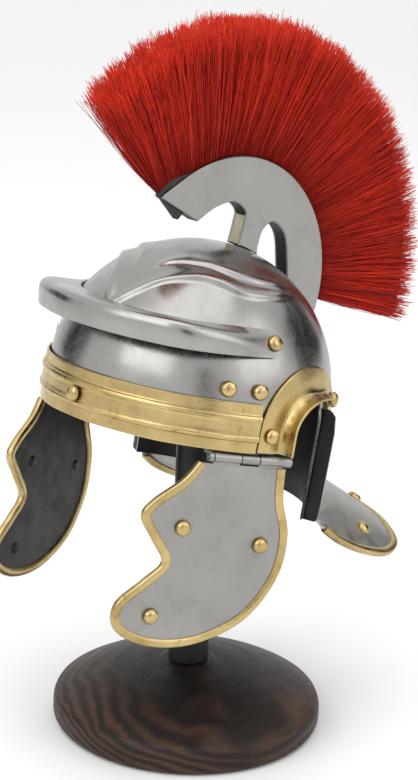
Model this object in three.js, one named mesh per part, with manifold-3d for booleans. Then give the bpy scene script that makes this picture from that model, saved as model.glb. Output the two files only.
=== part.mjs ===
// A miniature Roman legionary helmet on a turned wooden stand.
//
// Units are millimetres and +Z is up. The helmet faces -Y and the wearer's left is +X. The origin is
// the centre of the stand's underside. The helmet is modelled in its own frame, whose origin is the
// centre of the brow band's lower edge, and leans back a little on its post. Azimuths on the bowl are
// degrees from straight ahead round towards the wearer's left.

import * as THREE from 'three';
import { mergeVertices } from 'three/addons/utils/BufferGeometryUtils.js';
import Module from 'manifold-3d';

const wasm = await Module();
wasm.setup();

// ---------------------------------------------------------------- driving dimensions

const GAP = 0.35; // air between pieces that touch on the real helmet
const STEEL = 1.0; // thickness of the steel sheet
const BRASS = 0.8; // thickness of the brass sheet

const BASE_RADIUS = 50;
const BASE_RIM = 10.5; // height of the turned rim
const BASE_CROWN = 23; // height of the base under the post
const POST_RADIUS = 7.5;

const HELMET_Y = -7.5;
const HELMET_Z = 119.5;
const HELMET_TILT = 10.5; // how far the helmet leans back

const BOWL_RADIUS = 50.5; // outside of the steel, on the wall and on the dome
const DOME_Z = 13.5; // centre of the dome above the band's lower edge
const RIM_Z = 0.8; // lower edge of the bowl in front
const SKIRT_Z = -25.5; // lower edge of the skirt behind
const SKIRT_Y = 22.5; // front edge of the skirt, behind the ear

const BAND_HEIGHT = 17;
const BAND_AZIMUTH = 76; // where the band ends, at the ear guard
const BROW_AZIMUTH = 83.5; // where the brow guard ends

const EAR_AZIMUTH = 102.2; // centre of the ear opening
const EAR_Z = 8;
const EAR_OPENING = 12.4; // radius of the opening's round top
const EAR_OUTSIDE = 22.4; // outer radius of the brass ear guard
const EAR_COLLAR = 6.5; // how far the collar stands off the bowl

const HINGE_AZIMUTH = 72;
const HINGE_RADIUS = 50.4; // distance of the hinge line from the helmet's axis
const HINGE_Z = -2.3;
const KNUCKLE_RADIUS = 1.7;
const PIN_RADIUS = 0.6;

const CREST_Y = 8.5; // centre of the crest's arc, in the middle plane
const CREST_Z = 48.5;
const CREST_RADIUS = 46.5; // outside of the crest holder
const CREST_WIDTH = 6.8;
const PLUME_RADIUS = 95;
const PLUME_ROOT_WIDTH = 4.6;
const PLUME_TIP_WIDTH = 23;

const rad = THREE.MathUtils.degToRad;
const smooth = THREE.MathUtils.smoothstep;
const lerp = THREE.MathUtils.lerp;
const clamp = THREE.MathUtils.clamp;

// ---------------------------------------------------------------- making solids

// Shared vertices merged, empty faces dropped and the faces turned outwards.
function solid(geometry) {
  const bare = new THREE.BufferGeometry();
  bare.setAttribute('position', geometry.getAttribute('position').clone());
  if (geometry.index) bare.setIndex([...geometry.index.array]);
  const merged = mergeVertices(bare, 1e-4);
  const p = merged.getAttribute('position');
  const corner = [0, 1, 2].map(() => new THREE.Vector3());
  const faces = [];
  let volume = 0;
  for (let i = 0; i < merged.index.count; i += 3) {
    const face = [0, 1, 2].map((k) => merged.index.getX(i + k));
    if (new Set(face).size < 3) continue;
    face.forEach((vertex, k) => corner[k].fromBufferAttribute(p, vertex));
    volume += corner[0].dot(corner[1].clone().cross(corner[2]));
    faces.push(face);
  }
  merged.setIndex(faces.flatMap(([a, b, c]) => (volume < 0 ? [a, c, b] : [a, b, c])));
  return merged;
}

// Each vertex goes where the map sends it.
function warp(geometry, map) {
  const p = geometry.getAttribute('position');
  const v = new THREE.Vector3();
  for (let i = 0; i < p.count; i += 1) {
    const to = map(v.fromBufferAttribute(p, i));
    p.setXYZ(i, to.x, to.y, to.z);
  }
  return solid(geometry);
}

// A plate of even thickness whose middle follows surface(u, v), with u and v from 0 to 1.
function sheet(surface, thickness, stepsU, stepsV) {
  const flat = new THREE.BoxGeometry(1, 1, 1, stepsU, stepsV, 1);
  return warp(flat, ({ x, y, z }) => {
    const [u, v] = [x + 0.5, y + 0.5];
    const step = 1e-3;
    const [u0, u1] = [Math.max(u - step, 0), Math.min(u + step, 1)];
    const [v0, v1] = [Math.max(v - step, 0), Math.min(v + step, 1)];
    const along = surface(u1, v).sub(surface(u0, v));
    const across = surface(u, v1).sub(surface(u, v0));
    const normal = along.cross(across).normalize();
    return surface(u, v).addScaledVector(normal, z * thickness);
  });
}

// An outline carried along a path: place(x, y, t) puts outline point (x, y) at t, from 0 to 1.
function sweep(outline, steps, place) {
  const shape = new THREE.Shape(outline.map(([x, y]) => new THREE.Vector2(x, y)));
  const straight = new THREE.ExtrudeGeometry(shape, { depth: 1, steps, bevelEnabled: false });
  return warp(straight, ({ x, y, z }) => place(x, y, z));
}

// A profile of [radius, height] points turned round Z.
function lathe(profile, segments) {
  const points = profile.map(([r, z]) => new THREE.Vector2(r, z));
  return solid(new THREE.LatheGeometry(points, segments).rotateX(Math.PI / 2));
}

// A shape drawn in the YZ plane, made as wide as asked and centred on X = 0.
function alongX(shape, width, curveSegments = 12) {
  const plate = new THREE.ExtrudeGeometry(shape, { depth: width, bevelEnabled: false, curveSegments });
  const turn = new THREE.Matrix4().makeBasis(
    new THREE.Vector3(0, 1, 0), new THREE.Vector3(0, 0, 1), new THREE.Vector3(1, 0, 0));
  return solid(plate.applyMatrix4(turn).translate(-width / 2, 0, 0));
}

// A round bar or tube along Y, between two Y values.
function barAlongY(radius, from, to, segments = 16) {
  const bar = new THREE.CylinderGeometry(radius, radius, to - from, segments);
  return solid(bar.translate(0, (from + to) / 2, 0));
}

function block([x0, y0, z0], [x1, y1, z1]) {
  const box = new THREE.BoxGeometry(x1 - x0, y1 - y0, z1 - z0);
  return solid(box.translate((x0 + x1) / 2, (y0 + y1) / 2, (z0 + z1) / 2));
}

function toManifold(geometry) {
  const vertProperties = new Float32Array(geometry.getAttribute('position').array);
  const triVerts = new Uint32Array(geometry.index.array);
  return new wasm.Manifold(new wasm.Mesh({ numProp: 3, vertProperties, triVerts }));
}

function fromManifold(body) {
  const { vertProperties, triVerts } = body.getMesh();
  const geometry = new THREE.BufferGeometry();
  geometry.setAttribute('position', new THREE.BufferAttribute(new Float32Array(vertProperties), 3));
  geometry.setIndex([...triVerts]);
  return solid(geometry);
}

function joined(first, ...rest) {
  return fromManifold(rest.reduce((body, piece) => body.add(toManifold(piece)), toManifold(first)));
}

function cutBy(first, ...tools) {
  return fromManifold(tools.reduce((body, tool) => body.subtract(toManifold(tool)), toManifold(first)));
}

// The same piece on the wearer's other side.
function mirrored(geometry) {
  return warp(geometry.clone(), (v) => v.clone().setX(-v.x));
}

// ---------------------------------------------------------------- the bowl's surface

const polar = (radius, azimuth, z) =>
  new THREE.Vector3(radius * Math.sin(rad(azimuth)), -radius * Math.cos(rad(azimuth)), z);

// A point on the dome, lifted off the steel by lift.
function onDome(azimuth, latitude, lift) {
  const r = BOWL_RADIUS + lift;
  return polar(r * Math.cos(rad(latitude)), azimuth, DOME_Z + r * Math.sin(rad(latitude)));
}

// Straight lines between [x, y] points, with rounded joints.
function through(points, x) {
  const next = clamp(points.findIndex(([px]) => px > x), 1, points.length - 1);
  const [[x0, y0], [x1, y1]] = [points[next - 1], points[next]];
  return lerp(y0, y1, smooth(x, x0, x1));
}

// The two embossed brow lines on each side: latitude of the crest against azimuth.
const LOWER_BROW = [[0, 30], [12, 41], [23, 48.4], [40, 52.5], [54, 51.4], [67, 48], [80, 47.4], [112, 49]];
const UPPER_BROW = [[0, 46], [10, 55], [23, 60], [44, 61.2], [60, 58.8], [82, 54.8], [112, 52]];

function brow(azimuth, latitude) {
  const side = Math.abs(azimuth);
  const ridge = (line, height) => {
    const off = (latitude - through(line, side)) / 2.4;
    return height * Math.exp(-off * off);
  };
  const fade = 1 - smooth(side, 84, 122);
  return fade * (ridge(LOWER_BROW, 1.2) + ridge(UPPER_BROW, 0.9));
}

// ---------------------------------------------------------------- stand

function standBase() {
  const profile = [
    [0, 0], [48.6, 0], [BASE_RADIUS, 1.6], [BASE_RADIUS, 8.4], [48.8, BASE_RIM], [44, 13],
    [37, 16.2], [28, 19.4], [18, 21.8], [9, BASE_CROWN], [0, BASE_CROWN]];
  return lathe(profile, 56);
}

// The post reaches up into the bowl, whose lean puts the top of the dome behind the post's axis.
function standPost() {
  const lean = rad(HELMET_TILT);
  const domeY = HELMET_Y + DOME_Z * Math.sin(lean);
  const domeZ = HELMET_Z + DOME_Z * Math.cos(lean);
  const reach = Math.abs(domeY) + POST_RADIUS;
  const inside = BOWL_RADIUS - STEEL - GAP;
  const top = domeZ + Math.sqrt(inside ** 2 - reach ** 2);
  const foot = BASE_CROWN + GAP;
  const chamfer = 1;
  return lathe([
    [0, foot], [POST_RADIUS, foot], [POST_RADIUS, top - chamfer], [POST_RADIUS - chamfer, top],
    [0, top]], 24);
}

// ---------------------------------------------------------------- bowl, skirt and ear flanges

function bowl() {
  const inside = BOWL_RADIUS - STEEL;
  const innerLatitudes = [90, 74, 59, 45, 32, 21, 10, 0];
  const outerLatitudes = [0, 14, 26];
  for (let latitude = 32; latitude <= 65; latitude += 3) outerLatitudes.push(latitude);
  outerLatitudes.push(70, 78, 90);
  const ring = (radius, latitude) =>
    [radius * Math.cos(rad(latitude)), DOME_Z + radius * Math.sin(rad(latitude))];
  const shell = lathe([
    ...innerLatitudes.map((latitude) => ring(inside, latitude)),
    [inside, SKIRT_Z], [BOWL_RADIUS, SKIRT_Z],
    ...outerLatitudes.map((latitude) => ring(BOWL_RADIUS, latitude))], 56);

  const embossed = warp(shell, (v) => {
    const out = v.clone().setZ(v.z - DOME_Z);
    const onOutside = out.z > 1 && out.length() > BOWL_RADIUS - STEEL / 2;
    if (!onOutside) return v;
    const azimuth = THREE.MathUtils.radToDeg(Math.atan2(v.x, -v.y));
    const latitude = THREE.MathUtils.radToDeg(Math.asin(clamp(out.z / out.length(), -1, 1)));
    return out.setLength(out.length() + brow(azimuth, latitude)).setZ(out.z + DOME_Z);
  });

  // Everything below the brow and inside the ear openings is cut away from the side.
  const earY = -BOWL_RADIUS * Math.cos(rad(EAR_AZIMUTH));
  const open = new THREE.Shape();
  open.moveTo(-70, SKIRT_Z - 5);
  open.lineTo(SKIRT_Y, SKIRT_Z - 5);
  open.lineTo(SKIRT_Y, EAR_Z);
  open.absarc(earY, EAR_Z, SKIRT_Y - earY, 0, Math.PI, false);
  open.lineTo(2 * earY - SKIRT_Y, RIM_Z);
  open.lineTo(-70, RIM_Z);
  const cut = cutBy(embossed, alongX(open, 130));
  return joined(cut, earFlange(), mirrored(earFlange()));
}

// The skirt's front edge is turned outwards behind the ear.
const FLANGE_WIDTH = 5.6;
const FLANGE_TOP = 14.5;

function earFlange() {
  const azimuth = 180 - THREE.MathUtils.radToDeg(Math.acos(SKIRT_Y / BOWL_RADIUS));
  const outline = new THREE.Shape();
  outline.moveTo(BOWL_RADIUS - 0.7, SKIRT_Z);
  outline.lineTo(BOWL_RADIUS + 4.5, SKIRT_Z);
  outline.quadraticCurveTo(BOWL_RADIUS + FLANGE_WIDTH, SKIRT_Z + 1, BOWL_RADIUS + FLANGE_WIDTH, SKIRT_Z + 7);
  outline.lineTo(BOWL_RADIUS + FLANGE_WIDTH, 6);
  outline.quadraticCurveTo(BOWL_RADIUS + FLANGE_WIDTH, 12.5, BOWL_RADIUS + 2.5, FLANGE_TOP);
  outline.lineTo(BOWL_RADIUS - 0.7, FLANGE_TOP);
  const plate = new THREE.ExtrudeGeometry(outline, { depth: STEEL, bevelEnabled: false, curveSegments: 4 });
  const outwards = polar(1, azimuth, 0);
  const up = new THREE.Vector3(0, 0, 1);
  const turn = new THREE.Matrix4().makeBasis(outwards, up, outwards.clone().cross(up));
  const backwards = new THREE.Vector3(0, 0, 1).cross(outwards);
  plate.applyMatrix4(turn);
  return solid(plate.translate(backwards.x * STEEL, backwards.y * STEEL, 0));
}

// ---------------------------------------------------------------- neck guard

// Half of the neck guard's outer edge, from the middle round to the corner behind the ear.
const NECK_EDGE = new THREE.CatmullRomCurve3([
  [-18, 81.5, -29.3], [0, 82, -29], [18, 81.5, -29.3], [33, 81, -32.5], [44, 77, -37],
  [49.5, 67, -39], [51, 52, -37], [50.5, 38, -32.5], [49, 29.5, -27.6]]
  .map(([x, y, z]) => new THREE.Vector3(x, y, z)));

// u runs from the skirt to the edge, v from the wearer's right to the left.
function neckSurface(u, v) {
  const side = 2 * v - 1;
  const root = polar(BOWL_RADIUS + GAP + STEEL / 2, 180 - 60 * Math.abs(side), -14 - 10 * side * side);
  const first = 1 / 8; // the curve's first stretch lies on the other side of the middle
  const edge = NECK_EDGE.getPoint(lerp(first, 1, Math.abs(side)));
  return root.lerp(edge, u).multiply(new THREE.Vector3(Math.sign(side) || 1, 1, 1));
}

// A brass strip folded over a plate's edge: a channel that opens inwards.
const EDGING = { over: 0.9, depth: 2.3, wall: 0.5 };

function edging(steps, frameAt) {
  const slot = STEEL / 2 + GAP;
  const { over, depth, wall } = EDGING;
  const outside = slot + wall;
  const channel = [
    [-over, -outside], [depth, -outside], [depth, -slot], [-GAP, -slot],
    [-GAP, slot], [depth, slot], [depth, outside], [-over, outside]];
  return sweep(channel, steps, (x, y, t) => {
    const { at, inwards, normal } = frameAt(t);
    return at.clone().addScaledVector(inwards, x).addScaledVector(normal, y);
  });
}

function neckEdging() {
  return edging(40, (t) => {
    const v = lerp(0.012, 0.988, t);
    const at = neckSurface(1, v);
    const along = neckSurface(1, v + 0.004).sub(neckSurface(1, v - 0.004)).normalize();
    const inwards = neckSurface(0.9, v).sub(at);
    inwards.addScaledVector(along, -inwards.dot(along)).normalize();
    return { at, inwards, normal: along.clone().cross(inwards) };
  });
}

// ---------------------------------------------------------------- brow guard

// The guard's section clear of the bowl, as [radius, height]: a lip, a round shoulder and a shelf.
const BROW_SECTION = new THREE.SplineCurve([
  [57.0, 32.8], [57.6, 36.6], [57.7, 39.4], [56.6, 41.0], [54, 41.2], [48.5, 40.6], [43.7, 40.3]]
  .map(([r, z]) => new THREE.Vector2(r, z)));

// u runs from the lip's lower edge to the shelf's inner edge, v from right to left. Steps in v are
// closer together at the ends, which are cut to a half round.
function browSurface(u, v) {
  const side = 2 * v - 1;
  const azimuth = BROW_AZIMUTH * lerp(side, Math.sin(side * Math.PI / 2), 0.7);
  const pastRound = clamp((Math.abs(azimuth) - BROW_AZIMUTH + 4.4) / 4.5, 0, 1);
  const across = 0.5 + (u - 0.5) * Math.sqrt(1 - pastRound ** 2);
  const { x: radius, y: height } = BROW_SECTION.getPoint(across);
  const free = polar(radius, azimuth, height);
  const close = onDome(azimuth, lerp(21.5, 32.5, across), GAP + STEEL / 2);
  return free.lerp(close, smooth(Math.abs(azimuth), 34, 82));
}

// ---------------------------------------------------------------- brow band

function bandSurface(u, v) {
  const z = BAND_HEIGHT * u;
  const rib = smooth(z, 4, 5.6) - smooth(z, 11, 12.6);
  const radius = BOWL_RADIUS + GAP + BRASS / 2 + 0.9 * rib;
  return polar(radius, lerp(-BAND_AZIMUTH, BAND_AZIMUTH, v), z);
}

// ---------------------------------------------------------------- ear guards

// The pressed section, as [distance from the opening's centre, height off the steel].
const EAR_SECTION = new THREE.SplineCurve([
  [EAR_OUTSIDE, 0], [18.5, 0], [15, 0], [13.4, 0.5], [12.7, 2], [EAR_OPENING, 4],
  [EAR_OPENING + 0.3, EAR_COLLAR]].map(([r, h]) => new THREE.Vector2(r, h)));
const EAR_FLAT = new THREE.SplineCurve([
  [EAR_OUTSIDE, 0], [21, 0], [19.6, 0], [18.5, 0], [17.6, 0], [16.7, 0], [15.8, 0]]
  .map(([r, h]) => new THREE.Vector2(r, h)));

// u runs from the outer edge in to the collar, v from the front leg over the top to the rear leg.
function earSurface(u, v) {
  const leg = 0.13; // share of the path in each straight leg
  const turn = clamp((v - leg) / (1 - 2 * leg), 0, 1);
  const angle = 180 * (1 - turn);
  const flat = smooth(turn, 0.55, 0.8);
  const section = EAR_SECTION.getPoint(u).lerp(EAR_FLAT.getPoint(u), flat);
  const drop = Math.max(leg - v, v - 1 + leg, 0) / leg;
  const s = section.x * Math.cos(rad(angle));
  const z = EAR_Z + section.x * Math.sin(rad(angle)) - drop * (EAR_Z - 0.4);
  const azimuth = EAR_AZIMUTH + THREE.MathUtils.radToDeg(s / BOWL_RADIUS);
  const wall = BOWL_RADIUS + GAP + BRASS / 2 + section.y;
  if (z <= DOME_Z) return polar(wall, azimuth, z);
  return polar(wall * Math.cos((z - DOME_Z) / wall), azimuth, DOME_Z + wall * Math.sin((z - DOME_Z) / wall));
}

// ---------------------------------------------------------------- crest

const crestPoint = (radius, angle) =>
  [CREST_Y + radius * Math.cos(rad(angle)), CREST_Z + radius * Math.sin(rad(angle))];

// Towards the nose the crest's outer edge rises off its arc and its two sides draw together.
const NOSE_ANGLE = 143.4;
const NOSE_START = 128;
const NOSE_RISE = 1.7;
const NOSE_PINCH = 1.5; // how far each side has moved in at the tip
const NOSE_LENGTH = 30;

const holderRadius = (angle) =>
  CREST_RADIUS + NOSE_RISE * clamp((angle - NOSE_START) / (NOSE_ANGLE - NOSE_START), 0, 1) ** 2;

function pinched(v) {
  return v.clone().setX(v.x - Math.sign(v.x) * NOSE_PINCH * clamp(-v.y / NOSE_LENGTH, 0, 1));
}

function crestHolder() {
  const onBowl = BOWL_RADIUS + GAP;
  const bowlAngle = (y) => Math.acos(y / onBowl);
  const footY = 45.2;
  const legY = 38;
  const stem = [18.8, 9.3];
  const outline = new THREE.Shape();
  outline.moveTo(...crestPoint(holderRadius(NOSE_ANGLE), NOSE_ANGLE));
  for (let angle = 140; angle > NOSE_START; angle -= 3) {
    outline.lineTo(...crestPoint(holderRadius(angle), angle));
  }
  outline.absarc(CREST_Y, CREST_Z, CREST_RADIUS, rad(NOSE_START - 2), rad(-14), true);
  outline.absarc(0, DOME_Z, onBowl, bowlAngle(footY), bowlAngle(legY), false);
  outline.splineThru([[35.5, 58], [31.5, 68.5], [24.5, 73], [20, 70], [18.8, 65]].map(toVector2));
  outline.absarc(0, DOME_Z, onBowl, bowlAngle(stem[0]), bowlAngle(stem[1]), false);
  outline.splineThru([[10.1, 71], [9.6, 75.6], [3, 78.6], [-4.8, 76.1], [-12.2, 70.4]].map(toVector2));
  const whole = alongX(outline, CREST_WIDTH, 16);
  return warp(cutBy(whole, crestChannel(35.8, () => 60, CREST_WIDTH - 2 * STEEL, 156, -24)), pinched);
}

// The black brush, a little proud of the holder and more so at the nose.
const blockRadius = (angle) => CREST_RADIUS + 0.5 + 2.75 * smooth(angle, 122, 138);

function crestBlock() {
  return warp(crestChannel(35.8 + GAP, blockRadius, CREST_WIDTH - 2 * STEEL - 2 * GAP, 142.5, -4), pinched);
}

function toVector2([x, y]) {
  return new THREE.Vector2(x, y);
}

// A curved bar round the crest's centre, from an inner radius out to outer(angle).
function crestChannel(inner, outer, width, from, to) {
  const bar = [[-width / 2, 0], [width / 2, 0], [width / 2, 1], [-width / 2, 1]];
  return sweep(bar, 30, (x, share, t) => {
    const angle = lerp(from, to, t);
    const [y, z] = crestPoint(lerp(inner, outer(angle), share), angle);
    return new THREE.Vector3(x, y, z);
  });
}

// The plume's outer form: a fan of bristles that spreads from its block to the tips.
function plume() {
  const fan = new THREE.BoxGeometry(1, 1, 1, 2, 3, 30);
  return warp(fan, ({ x, y, z }) => {
    const out = y + 0.5;
    const round = Math.abs(x) < 0.25 ? 1.5 * out : 0;
    const along = z + 0.5;
    const angle = lerp(lerp(142, 141.5, out), lerp(-3, -5.5, out), along);
    const radius = lerp(blockRadius(angle) + GAP, PLUME_RADIUS - 1.5 - 1.2 * along, out) + round;
    const ends = 1 - 0.45 * smooth(Math.abs(z), 0.42, 0.5) * out;
    const width = lerp(PLUME_ROOT_WIDTH, PLUME_TIP_WIDTH, out ** 0.8) * ends;
    const [py, pz] = crestPoint(radius, angle);
    return new THREE.Vector3(x * width, py, pz);
  });
}

// ---------------------------------------------------------------- rivets

const RIVET_RADIUS = 2.8;

// A domed head that stands on the XY plane.
function rivetHead(radius = RIVET_RADIUS) {
  const height = 0.72 * radius;
  const profile = [[0, 0], [radius, 0], [radius, 0.3]];
  for (const angle of [35, 65, 90]) {
    profile.push([radius * Math.cos(rad(angle)), 0.3 + (height - 0.3) * Math.sin(rad(angle))]);
  }
  return lathe(profile, 10);
}

// ---------------------------------------------------------------- hinges and cheek guards

// The hinge's frame has +X outwards, +Y rearwards along the pin and +Z up.
const HINGE_LENGTH = [-12.8, 18.3];
const BOWL_KNUCKLES = [[-12.8, -11.2], [-0.6, 6.0]];
const CHEEK_KNUCKLES = [[-10.9, -0.9], [6.3, 18.3]];
const BORE_RADIUS = PIN_RADIUS + GAP;

function hingeLeaf() {
  const radius = BOWL_RADIUS - STEEL - 2 * GAP - STEEL / 2;
  const half = 13;
  const bottom = 1.5;
  const top = 25;
  const leaf = sheet((u, v) => {
    const y = lerp(-half, half, u);
    const z = lerp(bottom, top, v);
    const rise = Math.max(z + HINGE_Z - DOME_Z, 0);
    return new THREE.Vector3(Math.sqrt(radius ** 2 - y ** 2 - rise ** 2) - HINGE_RADIUS, y, z);
  }, STEEL, 10, 5);
  const pieces = BOWL_KNUCKLES.flatMap(([from, to]) => {
    const farthest = Math.max(Math.abs(from), Math.abs(to));
    const leafX = Math.sqrt(radius ** 2 - farthest ** 2) - HINGE_RADIUS;
    return [
      barAlongY(KNUCKLE_RADIUS, from, to),
      block([leafX - STEEL / 2, from, 0], [-KNUCKLE_RADIUS / 2, to, bottom + 0.4])];
  });
  const bore = barAlongY(BORE_RADIUS, HINGE_LENGTH[0] - 1, HINGE_LENGTH[1] + 1);
  return cutBy(joined(leaf, ...pieces), bore);
}

// The cheek guard's edge from its front top corner down and round to its rear top corner,
// as [distance rearwards, distance down] from the hinge line.
const CHEEK_TOP = 2.1;
const CHEEK_EDGE = new THREE.SplineCurve([
  [-15.4, CHEEK_TOP], [-20.2, 9.1], [-29.2, 16.8], [-32, 22.3], [-26.7, 29.8], [-21.3, 38],
  [-27.3, 45.3], [-35.3, 53.8], [-33.7, 62.3], [-21.3, 67.4], [-4.4, 66.2], [12.4, 57], [21.6, 41.6],
  [22.4, 26.4], [17.7, 13.6], [15.9, CHEEK_TOP]].map(toVector2));
const CHEEK_STEPS = 45;

function cheekPlate() {
  const outline = new THREE.Shape(CHEEK_EDGE.getPoints(CHEEK_STEPS).map(({ x, y }) => new THREE.Vector2(x, -y)));
  const plate = alongX(outline, STEEL);
  const knuckles = CHEEK_KNUCKLES.flatMap(([from, to]) => {
    const plateEnd = Math.min(to, CHEEK_EDGE.points.at(-1).x);
    return [
      barAlongY(KNUCKLE_RADIUS, from, to),
      block([-STEEL / 2, from, -CHEEK_TOP - 0.5], [STEEL / 2, plateEnd, 0])];
  });
  const bore = barAlongY(BORE_RADIUS, HINGE_LENGTH[0] - 1, HINGE_LENGTH[1] + 1);
  return cutBy(joined(plate, ...knuckles), bore);
}

function cheekEdging() {
  return edging(CHEEK_STEPS, (t) => {
    const { x, y } = CHEEK_EDGE.getPoint(t);
    const { x: alongY, y: alongDown } = CHEEK_EDGE.getTangent(t);
    return {
      at: new THREE.Vector3(0, x, -y),
      inwards: new THREE.Vector3(0, alongDown, alongY),
      normal: new THREE.Vector3(1, 0, 0),
    };
  });
}

// ---------------------------------------------------------------- materials

const finish = (color, roughness, metalness) => new THREE.MeshStandardMaterial({ color, roughness, metalness });
const STEEL_FINISH = finish(0xa9a9a4, 0.3, 1);
const BRASS_FINISH = finish(0xc9a45a, 0.3, 1);
const BLACK_FINISH = finish(0x17171a, 0.5, 0);
const WOOD_FINISH = finish(0x3b2620, 0.4, 0);
const BRISTLE_FINISH = finish(0xb81410, 0.8, 0);

// ---------------------------------------------------------------- assembly

const model = new THREE.Group();
const helmet = new THREE.Group();
helmet.position.set(0, HELMET_Y, HELMET_Z);
helmet.rotation.x = -rad(HELMET_TILT);
model.add(helmet);

function add(parent, name, geometry, material) {
  const mesh = new THREE.Mesh(geometry, material);
  mesh.name = name;
  parent.add(mesh);
  return mesh;
}

// The same piece on both sides: the left one as made, the right one mirrored.
function addPair([left, right], name, geometry, material) {
  add(left, `${name}_left`, geometry, material);
  add(right, `${name}_right`, mirrored(geometry), material);
}

// A rivet's head at a point of a surface, facing along the surface's normal.
function rivetAt(point, normal, radius) {
  const turn = new THREE.Quaternion().setFromUnitVectors(new THREE.Vector3(0, 0, 1), normal.clone().normalize());
  const place = point.clone().addScaledVector(normal.clone().normalize(), GAP);
  return solid(rivetHead(radius).applyQuaternion(turn).translate(place.x, place.y, place.z));
}

// A rivet's head on a sheet that follows surface(u, v).
function rivetOnSheet(surface, u, v, thickness, outwards) {
  const step = 0.01;
  const along = surface(u + step, v).sub(surface(u - step, v));
  const normal = along.cross(surface(u, v + step).sub(surface(u, v - step))).normalize();
  if (normal.dot(outwards) < 0) normal.negate();
  return rivetAt(surface(u, v).addScaledVector(normal, thickness / 2), normal, RIVET_RADIUS);
}

add(model, 'stand_base', standBase(), WOOD_FINISH);
add(model, 'stand_post', standPost(), BLACK_FINISH);

add(helmet, 'bowl', bowl(), STEEL_FINISH);
add(helmet, 'neck_guard', sheet(neckSurface, STEEL, 5, 32), STEEL_FINISH);
add(helmet, 'neck_edging', neckEdging(), BRASS_FINISH);
add(helmet, 'brow_guard', sheet(browSurface, STEEL, 7, 40), STEEL_FINISH);
add(helmet, 'brow_band', sheet(bandSurface, BRASS, 9, 28), BRASS_FINISH);
add(helmet, 'crest_holder', crestHolder(), STEEL_FINISH);
add(helmet, 'crest_block', crestBlock(), BLACK_FINISH);
add(helmet, 'plume', plume(), BRISTLE_FINISH);

const both = [helmet, helmet];
addPair(both, 'ear_guard', sheet(earSurface, BRASS, 8, 22), BRASS_FINISH);

const up = new THREE.Vector3(0, 0, 1);
const ahead = polar(1, 0, 0);
const leftward = new THREE.Vector3(1, 0, 0);
const wallRivet = (azimuth, z) => rivetAt(polar(BOWL_RADIUS, azimuth, z), polar(1, azimuth, 0));
add(helmet, 'band_rivet', rivetOnSheet(bandSurface, 0.48, 0.5, BRASS, ahead), BRASS_FINISH);
addPair(both, 'brow_rivet', rivetOnSheet(browSurface, 0.5, 0.944, STEEL, leftward), BRASS_FINISH);
addPair(both, 'side_rivet_front', wallRivet(61, 21), BRASS_FINISH);
addPair(both, 'side_rivet_rear', wallRivet(74, 21), BRASS_FINISH);
addPair(both, 'ear_rivet_front', rivetOnSheet(earSurface, 0.2, 0.1, BRASS, leftward), BRASS_FINISH);
addPair(both, 'ear_rivet_rear', rivetOnSheet(earSurface, 0.2, 0.76, BRASS, leftward), BRASS_FINISH);
addPair(both, 'neck_rivet_outer', rivetOnSheet(neckSurface, 0.66, 0.79, STEEL, up), BRASS_FINISH);
addPair(both, 'neck_rivet_inner', rivetOnSheet(neckSurface, 0.8, 0.6, STEEL, up), BRASS_FINISH);

// The cheek guards hang straight down from hinge lines that lean with the helmet.
const hang = Math.atan2(Math.sin(rad(HELMET_TILT)) * Math.cos(rad(HINGE_AZIMUTH)), Math.cos(rad(HELMET_TILT)));
const hinges = [1, -1].map((side) => {
  const hinge = new THREE.Group();
  hinge.position.copy(polar(HINGE_RADIUS, side * HINGE_AZIMUTH, HINGE_Z));
  hinge.rotation.z = -side * rad(90 - HINGE_AZIMUTH);
  helmet.add(hinge);
  return hinge;
});
const cheeks = hinges.map((hinge, i) => {
  const cheek = new THREE.Group();
  cheek.rotation.y = (i === 0 ? 1 : -1) * hang;
  hinge.add(cheek);
  return cheek;
});
addPair(hinges, 'hinge_leaf', hingeLeaf(), STEEL_FINISH);
addPair(hinges, 'hinge_pin', barAlongY(PIN_RADIUS, HINGE_LENGTH[0] - 0.4, HINGE_LENGTH[1] + 0.4, 12), STEEL_FINISH);
addPair(cheeks, 'cheek_plate', cheekPlate(), STEEL_FINISH);
addPair(cheeks, 'cheek_edging', cheekEdging(), BRASS_FINISH);

const cheekRivets = { upper: [-17.2, 25.3], rear: [13.1, 29.9], lower: [-22.4, 57.2] };
for (const [place, [y, down]] of Object.entries(cheekRivets)) {
  const head = rivetAt(new THREE.Vector3(STEEL / 2, y, -down), leftward);
  addPair(cheeks, `cheek_rivet_${place}`, head, BRASS_FINISH);
}

export default model;
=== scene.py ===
"""Looks for a miniature Roman legionary helmet on a turned wooden stand. Blender 4.5, metres, +Z up."""

import math

import bmesh
import bpy
import numpy as np
from mathutils import Matrix, Vector


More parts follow.
